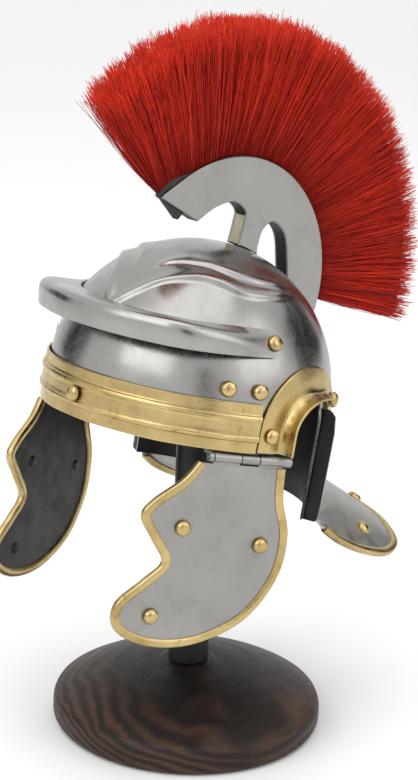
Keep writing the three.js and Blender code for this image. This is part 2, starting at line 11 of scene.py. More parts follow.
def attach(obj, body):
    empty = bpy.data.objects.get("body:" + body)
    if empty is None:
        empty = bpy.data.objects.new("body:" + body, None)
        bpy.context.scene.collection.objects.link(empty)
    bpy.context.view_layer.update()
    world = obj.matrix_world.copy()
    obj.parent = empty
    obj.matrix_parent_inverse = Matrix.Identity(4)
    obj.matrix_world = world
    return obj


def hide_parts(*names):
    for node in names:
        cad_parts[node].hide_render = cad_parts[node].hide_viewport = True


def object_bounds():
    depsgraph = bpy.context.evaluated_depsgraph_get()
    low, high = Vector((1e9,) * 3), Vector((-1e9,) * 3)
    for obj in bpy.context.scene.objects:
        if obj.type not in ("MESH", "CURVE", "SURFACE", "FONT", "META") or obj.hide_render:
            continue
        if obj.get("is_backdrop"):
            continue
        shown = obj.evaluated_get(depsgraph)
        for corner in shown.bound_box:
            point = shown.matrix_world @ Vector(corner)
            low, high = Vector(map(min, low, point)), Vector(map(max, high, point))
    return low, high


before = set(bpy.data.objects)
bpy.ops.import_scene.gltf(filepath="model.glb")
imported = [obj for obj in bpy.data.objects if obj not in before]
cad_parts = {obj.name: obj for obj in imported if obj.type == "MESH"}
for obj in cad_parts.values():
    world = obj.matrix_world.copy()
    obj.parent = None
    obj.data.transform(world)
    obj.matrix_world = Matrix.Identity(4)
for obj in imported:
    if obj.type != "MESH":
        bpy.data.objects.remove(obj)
cad_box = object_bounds()

ROOT = "helmet_and_stand"
CHEEKS = {"left": "cheek_guard_left", "right": "cheek_guard_right"}
MM = 0.001

# ---------------- dimensions, as in the CAD, in mm

GAP = 0.35
STEEL = 1.0
BRASS = 0.8
BASE_RADIUS = 50
BASE_RIM = 10.5
BASE_CROWN = 23
POST_RADIUS = 7.5
HELMET_Y = -7.5
HELMET_Z = 119.5
HELMET_TILT = 10.5
BOWL_RADIUS = 50.5
DOME_Z = 13.5
RIM_Z = 0.8
SKIRT_Z = -25.5
SKIRT_Y = 22.5
BAND_HEIGHT = 17
BAND_AZIMUTH = 76
BROW_AZIMUTH = 83.5
EAR_AZIMUTH = 102.2
EAR_Z = 8
FLANGE_WIDTH = 5.6
FLANGE_TOP = 14.5
HINGE_AZIMUTH = 72
HINGE_RADIUS = 50.4
HINGE_Z = -2.3
KNUCKLE_RADIUS = 1.7
PIN_RADIUS = 0.6
CREST_Y = 8.5
CREST_Z = 48.5
CREST_RADIUS = 46.5
CREST_WIDTH = 6.8
CHANNEL_RADIUS = 35.8
PLUME_RADIUS = 95

# ---------------- small maths


def smooth(x, low, high):
    t = np.clip((x - low) / (high - low), 0, 1)
    return t * t * (3 - 2 * t)


def lerp(a, b, t):
    return a + (b - a) * t


def unit(v):
    return v / np.maximum(np.linalg.norm(v, axis=-1, keepdims=True), 1e-12)


def stack(*parts):
    return np.stack(np.broadcast_arrays(*parts), axis=-1).astype(float)


def matched(u, v):
    return np.broadcast_arrays(np.asarray(u, float), np.asarray(v, float))


def polar(radius, azimuth, z):
    a = np.radians(azimuth)
    return stack(radius * np.sin(a), -radius * np.cos(a), z)


def on_dome(azimuth, latitude, lift):
    r = BOWL_RADIUS + lift
    t = np.radians(latitude)
    return polar(r * np.cos(t), azimuth, DOME_Z + r * np.sin(t))


def through(points, x):
    """Straight lines between points, eased into each other."""
    px, py = np.array(points, float).T
    i = np.clip(np.searchsorted(px, x, side="right") - 1, 0, len(px) - 2)
    return lerp(py[i], py[i + 1], smooth(x, px[i], px[i + 1]))


def spline(points, t):
    """A Catmull-Rom curve through the points, the same one as the CAD's, at each t from 0 to 1."""
    p = np.array(points, float)
    t = np.asarray(t, float)
    at = np.clip(t, 0, 1) * (len(p) - 1)
    i = np.minimum(at.astype(int), len(p) - 2)
    w = (at - i)[..., None]
    p0, p1 = p[np.maximum(i - 1, 0)], p[i]
    p2, p3 = p[i + 1], p[np.minimum(i + 2, len(p) - 1)]
    v0, v1 = (p2 - p0) / 2, (p3 - p1) / 2
    return (2 * p1 - 2 * p2 + v0 + v1) * w**3 + (3 * p2 - 3 * p1 - 2 * v0 - v1) * w**2 + v0 * w + p1


def waves(p, scale, seed):
    """A smooth wobble between about -1 and 1 from a few sine waves, the same on every run."""
    rng = np.random.default_rng(seed)
    total = 0
    for _ in range(5):
        k = unit(rng.normal(size=3)) * rng.uniform(0.6, 1.5) / scale
        total = total + np.sin(p @ k * 2 * math.pi + rng.uniform(0, 6.28))
    return total / 3


# ---------------- frames of reference

# LEAN is the tilted helmet's frame. HANG is how far a cheek guard turns on its hinge until it hangs.
LEAN = Matrix.Translation((0, HELMET_Y, HELMET_Z)) @ Matrix.Rotation(-math.radians(HELMET_TILT), 4, "X")
HANG = math.atan2(
    math.sin(math.radians(HELMET_TILT)) * math.cos(math.radians(HINGE_AZIMUTH)),
    math.cos(math.radians(HELMET_TILT)),
)


def hinge_frame(side, hanging):
    """A hinge's own frame: X outwards from the bowl, Y along the pin, to the rear, Z up."""
    a = math.radians(HINGE_AZIMUTH)
    at = (side * HINGE_RADIUS * math.sin(a), -HINGE_RADIUS * math.cos(a), HINGE_Z)
    turn = Matrix.Rotation(-side * (math.pi / 2 - a), 4, "Z")
    drop = Matrix.Rotation(side * HANG, 4, "Y") if hanging else Matrix.Identity(4)
    flip = Matrix.Scale(side, 4, (1, 0, 0))
    return LEAN @ Matrix.Translation(at) @ turn @ drop @ flip


def placed(points, matrix):
    """Points in mm in that frame, as points in metres in the scene."""
    m = np.array(matrix)
    return (np.asarray(points, float) @ m[:3, :3].T + m[:3, 3]) * MM


# ---------------- meshes


def linked(name, data):
    """A new object in the scene that holds this mesh, light or camera."""
    made = bpy.data.objects.new(name, data)
    bpy.context.scene.collection.objects.link(made)
    return made


def piece(name, points, faces, material, matrix=LEAN, body=ROOT, slot=None, replaces=(), flat=30):
    """A mesh object from points in mm. Edges sharper than flat degrees stay sharp."""
    mesh = bpy.data.meshes.new(name)
    mesh.from_pydata(placed(points, matrix).tolist(), [], [list(map(int, f)) for f in faces])
    shaped = bmesh.new()
    shaped.from_mesh(mesh)
    bmesh.ops.remove_doubles(shaped, verts=shaped.verts, dist=2e-6)
    bmesh.ops.dissolve_degenerate(shaped, edges=shaped.edges, dist=1e-7)
    bmesh.ops.recalc_face_normals(shaped, faces=shaped.faces)
    for edge in shaped.edges:
        edge.smooth = len(edge.link_faces) == 2 and edge.calc_face_angle(0) < math.radians(flat)
    for face in shaped.faces:
        face.smooth = True
    shaped.to_mesh(mesh)
    shaped.free()
    mesh.materials.append(material)
    made = linked(name, mesh)
    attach(made, body)
    if replaces:
        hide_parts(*replaces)
    return made


def grid_faces(rows, columns, wrap_rows=False, wrap_columns=False):
    """Quads between points that lie in rows and columns."""
    faces = []
    for i in range(rows if wrap_rows else rows - 1):
        for j in range(columns if wrap_columns else columns - 1):
            a, b = i, (i + 1) % rows
            c, d = j, (j + 1) % columns
            faces.append((a * columns + c, b * columns + c, b * columns + d, a * columns + d))
    return faces


def tube_faces(rows, columns):
    """Each row is a closed ring, and the first and the last are filled."""
    ends = [list(range(columns)), list(range((rows - 1) * columns, rows * columns))]
    return grid_faces(rows, columns, wrap_columns=True) + ends


def shell(surface, thickness, nu, nv, rounding=0.25, wobble=0.0, seed=1):
    """A plate round surface(u, v), with its long edges rounded and its ends closed."""
    v = np.linspace(0, 1, nv)[None, :]
    step = 1e-4

    def lifted(u, share):
        """Points at u, share of half the thickness above the middle."""
        u = np.broadcast_to(u[:, None], (len(u), nv))
        vv = np.broadcast_to(v, u.shape)
        p = surface(u, vv)
        du = surface(np.minimum(u + step, 1), vv) - surface(np.maximum(u - step, 0), vv)
        dv = surface(u, np.minimum(vv + step, 1)) - surface(u, np.maximum(vv - step, 0))
        normal = unit(np.cross(du, dv))
        if wobble:
            p = p + normal * wobble * waves(p, 22, seed)[..., None]
        return p + normal * (thickness / 2) * np.asarray(share)[:, None, None]

    inner = np.linspace(0, 1, nu)
    length = np.linalg.norm(np.diff(surface(inner, np.full(nu, 0.5)), axis=0), axis=1).sum()
    inset = rounding / length
    inner = lerp(inset, 1 - inset, inner)
    arc = np.radians([60, 30, 0, -30, -60])
    high = 1 - inset + inset * np.cos(arc)
    low = inset - inset * np.cos(arc)
    ring = np.concatenate([
        lifted(inner, np.ones(nu)), lifted(high, np.sin(arc)),
        lifted(inner[::-1], -np.ones(nu)), lifted(low, -np.sin(arc))])
    rows, last_row = len(ring), 2 * nu + len(arc) - 1
    faces = grid_faces(rows, nv, wrap_rows=True)
    for end in (0, nv - 1):
        for i in range(nu - 1):
            faces.append([k * nv + end for k in (i, i + 1, last_row - 1 - i, last_row - i)])
        for first in (nu - 1, last_row):
            faces.append([k % rows * nv + end for k in range(first, first + len(arc) + 2)])
    return ring.reshape(-1, 3), faces


def swept(outline, centres, across, normals):
    """A closed outline carried along a path. Outline x goes across and y along the normal."""
    o = np.array(outline, float)
    ring = centres[:, None] + o[None, :, :1] * across[:, None] + o[None, :, 1:] * normals[:, None]
    return ring.reshape(-1, 3), tube_faces(len(centres), len(o))


def turned(profile, segments, centre=(0, 0, 0), axis=(0, 0, 1), wobble=None):
    """A profile of (radius, height) points turned round an axis."""
    p = np.array(profile, float)
    a = np.linspace(0, 2 * math.pi, segments, endpoint=False)
    z = unit(np.array(axis, float))
    x = unit(np.cross(z, [0.3, 0.9, 0.1] if abs(z[1]) < 0.9 else [1, 0, 0]))
    y = np.cross(z, x)
    rim = np.cos(a)[:, None] * x + np.sin(a)[:, None] * y
    ring = p[:, None, :1] * rim[None] + p[:, None, 1:] * z + np.array(centre, float)
    if wobble:
        ring = wobble(ring)
    return ring.reshape(-1, 3), grid_faces(len(p), segments, wrap_columns=True)


def rounded(profile, radius, steps=4):
    """The profile with its inner corners rounded."""
    p = np.array(profile, float)
    out = [p[0]]
    for a, b, c in zip(p, p[1:], p[2:]):
        r = min(radius, 0.45 * np.linalg.norm(b - a), 0.45 * np.linalg.norm(c - b))
        start, end = b + unit(a - b) * r, b + unit(c - b) * r
        for t in np.linspace(0, 1, steps + 1):
            out.append((1 - t) ** 2 * start + 2 * t * (1 - t) * b + t * t * end)
    return np.array(out + [p[-1]])


def divided(profile, parts):
    """The profile with each of its stretches cut into that many parts."""
    cut = [np.linspace(a, b, parts, endpoint=False) for a, b in zip(profile, profile[1:])]
    return np.concatenate([*cut, profile[-1:]])


# ---------------- materials


class Nodes:
    """A material's node tree, written as calls."""

    def __init__(self, name):
        self.material = bpy.data.materials.new(name)
        self.material.use_nodes = True
        self.tree = self.material.node_tree
        self.shader = self.tree.nodes["Principled BSDF"]
        coordinates = self.tree.nodes.new("ShaderNodeTexCoord")
        self.position = coordinates.outputs["Object"]

    def make(self, kind, inputs=None, **settings):
        node = self.tree.nodes.new(f"ShaderNode{kind}")
        for key, value in settings.items():
            setattr(node, key, value)
        for key, value in (inputs or {}).items():
            if isinstance(value, bpy.types.NodeSocket):
                self.tree.links.new(value, node.inputs[key])
            else:
                node.inputs[key].default_value = value
        return node

    def stretched(self, scale, rotation=(0, 0, 0)):
        node = self.make("Mapping", {"Vector": self.position, "Scale": scale, "Rotation": rotation})
        return node.outputs["Vector"]

    def noise(self, scale, detail=4, roughness=0.55, vector=None, distortion=0.0):
        node = self.make("TexNoise", {
            "Vector": vector or self.position, "Scale": scale, "Detail": detail,
            "Roughness": roughness, "Distortion": distortion})
        return node.outputs["Fac"]

    def specks(self, scale):
        node = self.make("TexVoronoi", {"Vector": self.position, "Scale": scale})
        return node.outputs["Distance"]

    def between(self, value, low, high, to_low=0.0, to_high=1.0):
        """value from low..high mapped on to to_low..to_high, clamped."""
        node = self.make("MapRange", {
            "Value": value, "From Min": low, "From Max": high, "To Min": to_low, "To Max": to_high})
        return node.outputs["Result"]

    def math(self, operation, a, b=0.0):
        return self.make("Math", {0: a, 1: b}, operation=operation).outputs[0]

    def mixed(self, share, a, b):
        node = self.make("Mix", data_type="RGBA")
        for index, value in ((0, share), (6, a), (7, b)):
            if isinstance(value, bpy.types.NodeSocket):
                self.tree.links.new(value, node.inputs[index])
            else:
                node.inputs[index].default_value = (*value, 1) if isinstance(value, tuple) else value
        return node.outputs[2]

    def bump(self, height, strength, distance, below=None):
        inputs = {"Height": height, "Strength": strength, "Distance": distance}
        if below:
            inputs["Normal"] = below
        return self.make("Bump", inputs).outputs["Normal"]

    def finish(self, **sockets):
        for key, value in sockets.items():
            socket = self.shader.inputs[key.replace("_", " ")]
            if isinstance(value, bpy.types.NodeSocket):
                self.tree.links.new(value, socket)
            else:
                socket.default_value = (*value, 1) if isinstance(value, tuple) else value
        return self.material


def steel(name, gloss, light, grain=(90, 90, 900)):
    """Hand-finished sheet: faint polishing lines, cloudy patches, pits and dents."""
    n = Nodes(name)
    clouds = n.noise(38, 5)
    smudges = n.noise(120, 6, 0.62, distortion=0.6)
    lines = n.noise(9, 3, 0.7, vector=n.stretched(grain))
    pits = n.between(n.specks(420), 0.10, 0.0)
    pits = n.math("MULTIPLY", pits, n.between(n.noise(60, 2), 0.52, 0.62))
    tone = n.between(clouds, 0.3, 0.7)
    colour = n.mixed(tone, tuple(0.86 * c for c in light), light)
    colour = n.mixed(n.between(smudges, 0.56, 0.72, 0, 0.35), colour, tuple(0.72 * c for c in light))
    colour = n.mixed(pits, colour, (0.05, 0.045, 0.04))
    rough = n.math("ADD", n.between(smudges, 0.35, 0.7, gloss - 0.05, gloss + 0.1),
                   n.between(lines, 0.35, 0.65, -0.03, 0.05))
    dents = n.bump(n.noise(26, 1, 0.4), 0.12, 0.0012)
    fine = n.bump(lines, 0.02, 0.0003, dents)
    fine = n.bump(pits, 0.2, -0.0002, fine)
    return n.finish(Base_Color=colour, Metallic=1.0, Roughness=rough, Normal=fine)


def brass(name, gloss=0.22):
    """Dull yellow sheet: cloudy, with brown stains, faint lines and small dents."""
    n = Nodes(name)
    clouds = n.noise(55, 5, 0.6)
    stains = n.noise(150, 5, 0.65, distortion=0.8)
    lines = n.noise(8, 3, 0.7, vector=n.stretched((120, 120, 700)))
    colour = n.mixed(n.between(clouds, 0.3, 0.7), (0.40, 0.29, 0.12), (0.60, 0.465, 0.22))
    colour = n.mixed(n.between(stains, 0.58, 0.74, 0, 0.7), colour, (0.24, 0.15, 0.055))
    rough = n.math("ADD", n.between(stains, 0.35, 0.7, gloss - 0.05, gloss + 0.16),
                   n.between(lines, 0.35, 0.65, -0.02, 0.04))
    dents = n.bump(n.noise(42, 2, 0.4), 0.3, 0.0008)
    fine = n.bump(lines, 0.06, 0.0003, dents)
    return n.finish(Base_Color=colour, Metallic=1.0, Roughness=rough, Normal=fine)


def black_paint(name, chips=0.0):
    """Brushed-on satin paint. chips is how much bare metal shows through."""
    n = Nodes(name)
    clouds = n.noise(70, 5, 0.6)
    colour = n.mixed(n.between(clouds, 0.3, 0.7), (0.005, 0.005, 0.005), (0.017, 0.017, 0.016))
    if chips:
        worn = n.between(n.noise(230, 7, 0.7, distortion=0.4), 0.71 - chips, 0.74 - chips)
        height = n.make("SeparateXYZ", {"Vector": n.position}).outputs["Z"]
        worn = n.math("MULTIPLY", worn, n.between(height, 0.085, 0.060))
        colour = n.mixed(worn, colour, (0.42, 0.41, 0.38))
        # The paint also turns greyer towards the bottom.
        colour = n.mixed(n.between(height, 0.105, 0.055, 0, 0.45), colour, (0.11, 0.108, 0.10))
    rough = n.between(n.noise(160, 5), 0.3, 0.7, 0.34, 0.58)
    rippled = n.bump(n.noise(260, 4), 0.25, 0.0004)
    return n.finish(Base_Color=colour, Roughness=rough, Normal=rippled, Specular_IOR_Level=0.32)


def wood(name):
    """Dark stained board, cut across the grain, with ring figure, pores and a wax sheen. The middle of its
    top is darkened with a painted shadow of the helmet.
    """
    n = Nodes(name)
    bend = n.noise(14, 3, 0.5)
    shift = n.make("CombineXYZ", {
        "X": n.math("MULTIPLY", bend, 0.012), "Z": n.math("MULTIPLY", bend, 0.02)})
    warped = n.make("VectorMath", {0: n.position, 1: shift.outputs[0]}, operation="ADD").outputs[0]
    tilted = n.make("Mapping", {
        "Vector": warped, "Location": (0.012, 0.055, 0.03),
        "Rotation": (0.1, 0.18, 0.5), "Scale": (1, 0.42, 2.6)})
    rings = n.make("TexWave", {
        "Vector": tilted.outputs[0], "Scale": 46, "Distortion": 3.0, "Detail": 4, "Detail Scale": 1.6},
        wave_type="RINGS", rings_direction="SPHERICAL", wave_profile="SIN").outputs["Fac"]
    fibres = n.noise(1, 5, 0.7, vector=n.stretched((900, 90, 900), (0, 0, 0.5)))
    pores = n.noise(1, 3, 0.6, vector=n.stretched((1500, 150, 1500), (0, 0, 0.5)))
    pores = n.between(pores, 0.60, 0.70)
    blotches = n.noise(26, 4, 0.6)
    colour = n.mixed(n.between(rings, 0.1, 0.95), (0.011, 0.007, 0.006), (0.070, 0.034, 0.021))
    colour = n.mixed(n.between(fibres, 0.4, 0.7, 0, 0.5), colour, (0.034, 0.017, 0.011))
    colour = n.mixed(n.between(blotches, 0.5, 0.72, 0, 0.7), colour, (0.013, 0.007, 0.006))
    colour = n.mixed(n.math("MULTIPLY", pores, 0.8), colour, (0.008, 0.004, 0.003))
    # Painted shadow: the middle of the base's top, under the helmet, darkens towards the post's axis.
    centre = n.make("VectorMath", {0: n.position, 1: (1, 1, 0)}, operation="MULTIPLY").outputs[0]
    reach = n.make("VectorMath", {0: centre}, operation="LENGTH").outputs["Value"]
    colour = n.mixed(n.between(reach, 0.024, 0.043, 0.86, 0.0), colour, (0.007, 0.006, 0.005))
    rough = n.between(fibres, 0.3, 0.7, 0.40, 0.58)
    grain = n.bump(n.math("ADD", fibres, n.math("MULTIPLY", pores, -0.8)), 0.3, 0.0004)
    return n.finish(
        Base_Color=colour, Roughness=rough, Normal=grain, Coat_Weight=0.06, Coat_Roughness=0.3,
        Specular_IOR_Level=0.22)


def bristle(name):
    """Dyed fibre. Each strand carries its own tone, and its place from root to tip, which darkens the roots
    with painted shade and lightens the tips with painted light.
    """
    n = Nodes(name)
    tone = n.make("Attribute", attribute_name="tone").outputs["Fac"]
    along = n.make("Attribute", attribute_name="along").outputs["Fac"]
    colour = n.mixed(tone, (0.34, 0.008, 0.004), (0.84, 0.042, 0.014))
    # Painted shade: each strand darkens from about half way down to its root, where the plume is dense.
    colour = n.mixed(n.between(along, 0.0, 0.55, 0.62, 0.0), colour, (0.09, 0.002, 0.003))
    # Painted light: the last fifth of each strand is lightened towards a brighter red at the tip.
    colour = n.mixed(n.between(along, 0.8, 1.0, 0.0, 0.25), colour, (0.88, 0.065, 0.022))
    colour = n.mixed(n.between(n.noise(900, 3), 0.4, 0.6, 0, 0.25), colour, (0.22, 0.004, 0.004))
    rough = n.between(tone, 0, 1, 0.55, 0.42)
    return n.finish(Base_Color=colour, Roughness=rough, Specular_IOR_Level=0.16)


def fibre_block(name):
    """The black brush block, ribbed by its fibres."""
    n = Nodes(name)
    fibres = n.noise(1, 4, 0.7, vector=n.stretched((2500, 500, 500)))
    colour = n.mixed(n.between(fibres, 0.35, 0.65), (0.006, 0.006, 0.006), (0.035, 0.032, 0.03))
    rough = n.between(fibres, 0.3, 0.7, 0.45, 0.7)
    return n.finish(Base_Color=colour, Roughness=rough, Normal=n.bump(fibres, 0.6, 0.0004))


def stem_face_painted_reflection(name):
    """The streaky steel front edge of the crest holder's stem, with a warm reflection painted in as a pale
    tan colour.
    """
    n = Nodes(name)
    streaks = n.noise(1, 4, 0.7, vector=n.stretched((300, 60, 60)))
    # Painted reflection: the pale tan colours stand in for a warm reflection on the steel; the streaks are
    # its brushing.
    colour = n.mixed(n.between(streaks, 0.35, 0.65), (0.33, 0.28, 0.19), (0.62, 0.57, 0.44))
    rough = n.between(streaks, 0.3, 0.7, 0.45, 0.65)
    return n.finish(Base_Color=colour, Roughness=rough, Metallic=0.4, Normal=n.bump(streaks, 0.4, 0.0003))


BOWL_STEEL = steel("bowl_steel", 0.235, (0.37, 0.365, 0.35))
PLATE_STEEL = steel("plate_steel", 0.36, (0.34, 0.332, 0.315), grain=(700, 90, 90))
# Painted light: the neck guard's steel is a lighter copy of the plate steel, standing in for the bright
# reflections on its top.
NECK_STEEL_PAINTED_LIGHT = steel("neck_steel_painted_light", 0.42, (0.50, 0.495, 0.47), grain=(700, 90, 90))
CREST_STEEL = steel("crest_steel", 0.38, (0.375, 0.37, 0.35), grain=(90, 500, 90))
HINGE_STEEL = steel("hinge_steel", 0.34, (0.30, 0.30, 0.29))
SHEET_BRASS = brass("sheet_brass")
EDGE_BRASS = brass("edge_brass", 0.27)
RIVET_BRASS = brass("rivet_brass", 0.2)
INSIDE = black_paint("inside_paint")
CHEEK_INSIDE = black_paint("cheek_inside_paint", chips=0.05)
POST_PAINT = black_paint("post_paint")
WOOD = wood("stained_wood_with_painted_shadow")
BRISTLE = bristle("red_bristle")
BLOCK = fibre_block("brush_block")
STEM_FACE_PAINTED_REFLECTION = stem_face_painted_reflection("stem_face_painted_reflection")

# ---------------- stand

UPRIGHT = Matrix.Identity(4)
NEAR_AXIS = 0.01

profile = rounded([
    (NEAR_AXIS, 0), (47.8, 0), (48.9, 0.5), (BASE_RADIUS, 2.4), (BASE_RADIUS, 7.6), (48.9, BASE_RIM - 0.3),
    (44, 13), (37, 16.3), (28, 19.5), (18, 21.7), (12, 22.4), (10.6, 22.5), (9.6, BASE_CROWN),
    (NEAR_AXIS, BASE_CROWN)], 1.4)
piece("turned_base", *turned(divided(profile, 4), 160), WOOD, UPRIGHT, slot="dark_wood",
      replaces=["stand_base"], flat=50)

lean = math.radians(HELMET_TILT)
dome_y = HELMET_Y + DOME_Z * math.sin(lean)
reach = abs(dome_y) + POST_RADIUS
post_top = HELMET_Z + DOME_Z * math.cos(lean) + math.sqrt((BOWL_RADIUS - STEEL - GAP) ** 2 - reach**2)
foot = BASE_CROWN + GAP
profile = rounded([
    (NEAR_AXIS, foot), (POST_RADIUS, foot), (POST_RADIUS, post_top), (NEAR_AXIS, post_top)], 1)


def uneven(p):
    """The dowel isn't perfectly round."""
    return p + 0.08 * waves(p * [1, 1, 0.25], 12, 5)[..., None] * unit(p * [1, 1, 0])


piece("dowel", *turned(divided(profile, 8), 64, wobble=uneven), POST_PAINT, UPRIGHT, slot="black_paint",
      replaces=["stand_post"], flat=50)

# ---------------- bowl

LOWER_BROW = [(0, 30), (12, 41), (23, 48.4), (40, 52.5), (54, 51.4), (67, 48), (80, 47.4), (112, 49)]
UPPER_BROW = [(0, 46), (10, 55), (23, 60), (44, 61.2), (60, 58.8), (82, 54.8), (112, 52)]


def brow(azimuth, latitude):
    """Height of the hammered brows: each is crisp below and falls away softly above."""
    side = np.abs(azimuth)
    height = 0
    lines = ((LOWER_BROW, 1.15, 1.4, 4.6), (UPPER_BROW, 0.95 * smooth(side, 3, 17), 1.5, 4.4))
    for line, rise, below, above in lines:
        curve = spline(line, np.linspace(0, 1, 400))
        off = latitude - np.interp(side, curve[:, 0], curve[:, 1])
        height = height + rise * np.exp(-((off / np.where(off < 0, below, above)) ** 2))
    return height * (1 - smooth(side, 88, 122))


# The opening over the ear is a half circle in side view, from azimuth corner in front to skirt behind.
ear_y = -BOWL_RADIUS * math.cos(math.radians(EAR_AZIMUTH))
arch = SKIRT_Y - ear_y
corner = math.degrees(math.acos(-(2 * ear_y - SKIRT_Y) / BOWL_RADIUS))
skirt = math.degrees(math.acos(-SKIRT_Y / BOWL_RADIUS))


def bowl_edge(azimuth):
    """Height of the bowl's lower edge: the brow in front, the arch over the ear, the skirt behind."""
    side = np.abs(azimuth)
    y = -BOWL_RADIUS * np.cos(np.radians(side))
    over = EAR_Z + np.sqrt(np.maximum(arch**2 - (y - ear_y) ** 2, 0))
    return np.where(side < corner, RIM_Z, np.where(side < skirt, over, SKIRT_Z))


def bowl_shell(outside, inside, embossed, lift=0.0):
    """The cap between two radii, down to its edge. The plain one is coarser, as a lining."""
    step, crown_rows, wall_rows = (0.85, 96, 22) if embossed else (2.5, 16, 8)
    half = np.concatenate([
        np.arange(0, corner - 0.5, step), [corner - 0.01, corner + 0.01],
        np.linspace(corner + 0.5, skirt - 0.5, 34), [skirt - 0.01, skirt + 0.01],
        np.arange(skirt + 0.6, 180, max(step, 1.5))])
    azimuth = np.concatenate([-half[:0:-1], half])
    edge = bowl_edge(azimuth)[None] + lift
    split = 12.0
    crown = np.concatenate([
        np.linspace(90, 68, 9)[:-1], np.linspace(68, 27, crown_rows)[:-1], np.linspace(27, split, 6)])
    inner_crown = np.linspace(split, 90, 12)

    def rows(latitudes, radius):
        t = np.radians(latitudes)[:, None]
        r = radius + (brow(azimuth[None], latitudes[:, None]) if embossed else 0)
        return np.cos(t) * r, DOME_Z + np.sin(t) * r

    def wall(share, radius):
        start = DOME_Z + radius * math.sin(math.radians(split))
        z = lerp(start, edge, share[:, None])
        rise = np.maximum(z - DOME_Z, 0)
        return np.sqrt(radius**2 - rise**2), z

    lip = np.radians([70, 35, 0, -35, -70])[:, None]
    middle, half_thick = (outside + inside) / 2, (outside - inside) / 2
    sections = [
        rows(crown, outside), wall(np.linspace(0.06, 0.995, wall_rows), outside),
        (middle + half_thick * np.sin(lip) + 0 * edge, edge - 0.25 * np.cos(lip)),
        wall(np.linspace(0.995, 0.06, 8), inside), rows(inner_crown, inside)]
    radius = np.concatenate([np.broadcast_to(r, (r.shape[0], azimuth.size)) for r, _ in sections])
    z = np.concatenate([np.broadcast_to(h, (h.shape[0], azimuth.size)) for _, h in sections])
    p = polar(radius, azimuth[None], z)
    out = unit(p - [0, 0, DOME_Z])
    p = p + out * 0.08 * waves(p, 34, 3)[..., None]
    return p.reshape(-1, 3), grid_faces(len(p), azimuth.size, wrap_columns=True)


BOWL_INSIDE = BOWL_RADIUS - STEEL
piece("helmet_bowl", *bowl_shell(BOWL_RADIUS, BOWL_INSIDE + 0.1, True), BOWL_STEEL, slot="steel",
      replaces=["bowl"])
piece("bowl_lining", *bowl_shell(BOWL_INSIDE + 0.08, BOWL_INSIDE, False, lift=0.05), INSIDE)

FLANGE_EDGE = [
    (SKIRT_Z, 4.6), (SKIRT_Z + 1.5, 5.4), (-16, FLANGE_WIDTH), (6, FLANGE_WIDTH), (12, 5.0), (14, 3.6),
    (FLANGE_TOP, 2.4)]
FLANGE_ROOT = 0.75


def flange(side, thickness, back, name, material, slot=None, inset=0.0):
    """The skirt's front edge, turned outwards behind the ear."""
    heights = np.linspace(SKIRT_Z + inset, FLANGE_TOP - inset, 60)
    width = through(FLANGE_EDGE, heights)
    across = np.linspace(0, 1, 9)
    bend = 1.2 * (1 - smooth(across, 0, 0.3))
    r = BOWL_RADIUS - FLANGE_ROOT + across[None] * (width[:, None] + FLANGE_ROOT - inset)
    outwards = polar(1.0, side * skirt, 0)
    rearwards = np.array([-outwards[1], outwards[0], 0]) * side
    rows = []
    for depth in (back, back + thickness):
        p = r[..., None] * outwards + (depth + bend)[None, :, None] * rearwards
        p[..., 2] += heights[:, None]
        rows.append(p)
    front, rear = rows
    n, m = front.shape[:2]
    ring = np.concatenate([front.reshape(-1, 3), rear.reshape(-1, 3)])
    faces = grid_faces(n, m) + [tuple(k + n * m for k in f) for f in grid_faces(n, m)]
    border = list(range(m)) + [i * m + m - 1 for i in range(1, n)]
    border += [(n - 1) * m + j for j in range(m - 2, -1, -1)] + [i * m for i in range(n - 2, 0, -1)]
    faces += [(a, b, b + n * m, a + n * m) for a, b in zip(border, border[1:] + border[:1])]
    return piece(name, ring, faces, material, slot=slot)


for side, word in ((1, "left"), (-1, "right")):
    flange(side, STEEL - 0.15, 0.15, f"ear_flange_{word}", BOWL_STEEL, "steel")
    flange(side, 0.12, 0.0, f"ear_flange_paint_{word}", INSIDE, inset=0.12)

# ---------------- neck guard

NECK_EDGE = [
    (-18, 81.5, -29.3), (0, 82, -29), (18, 81.5, -29.3), (33, 81, -32.5), (44, 77, -37),
    (49.5, 67, -39), (51, 52, -37), (50.5, 38, -32.5), (49, 29.5, -27.6)]
NECK_MIDDLE = 1 / (len(NECK_EDGE) - 1)
NECK_SPREAD = 60
NECK_ROOT_Z = -14


def centripetal(points, t):
    """The CAD's centripetal curve through points in space, at each t from 0 to 1."""
    p = np.array(points, float)
    p = np.concatenate([[2 * p[0] - p[1]], p, [2 * p[-1] - p[-2]]])
    at = np.clip(t, 0, 1) * (len(p) - 3)
    i = np.minimum(at.astype(int), len(p) - 4)
    w = (at - i)[..., None]
    a, b, c, d = (p[i + k] for k in range(4))
    squares = (np.sum((r - q) ** 2, axis=-1, keepdims=True) for q, r in ((a, b), (b, c), (c, d)))
    before, here, after = (np.maximum(square**0.25, 1e-4) for square in squares)
    v1 = ((b - a) / before - (c - a) / (before + here) + (c - b) / here) * here
    v2 = ((c - b) / here - (d - b) / (here + after) + (d - c) / after) * here
    return (2 * b - 2 * c + v1 + v2) * w**3 + (3 * c - 3 * b - 2 * v1 - v2) * w**2 + v1 * w + b


def neck_surface(u, v):
    """The guard's middle sheet: u from the bowl to the free edge, v from the wearer's right to the left."""
    u, v = matched(u, v)
    side = 2 * v - 1
    azimuth, z = 180 - NECK_SPREAD * np.abs(side), NECK_ROOT_Z - 10 * side**2
    root = polar(BOWL_RADIUS + GAP + STEEL / 2, azimuth, z)
    edge = centripetal(NECK_EDGE, lerp(NECK_MIDDLE, 1, np.abs(side)))
    p = lerp(root, edge, u[..., None])
    p[..., 0] *= np.where(side < 0, -1, 1)
    return p


